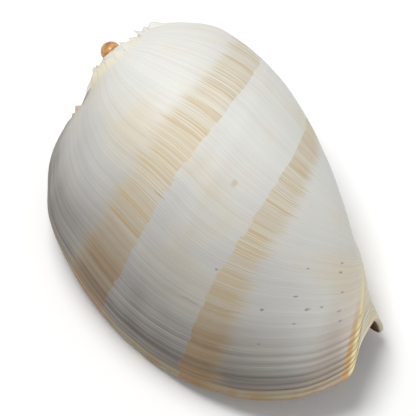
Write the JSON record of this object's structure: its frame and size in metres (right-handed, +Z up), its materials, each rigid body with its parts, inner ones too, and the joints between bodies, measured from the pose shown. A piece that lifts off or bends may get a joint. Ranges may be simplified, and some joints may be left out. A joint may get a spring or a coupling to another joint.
{
  "type": "conch shell",
  "caption": "Large thin-walled baler shell with a low crown of short spines, a wide open aperture and a folded pillar, lying aperture down.",
  "frame": {"origin": "centre of the bounding box's bottom, on the surface that the shell lies on", "axes": "+Z up, away from the surface the aperture faces; +Y along the shell's length, from the open front tip to the crowned spire"},
  "size_m": [0.1748, 0.2554, 0.1315],
  "materials": {
    "shell": "satin cream with two spiral bands of tan growth streaks, stands for aragonite shell"
  },
  "bodies": {
    "root": {"shell": "shell"}
  },
  "joints": []
}
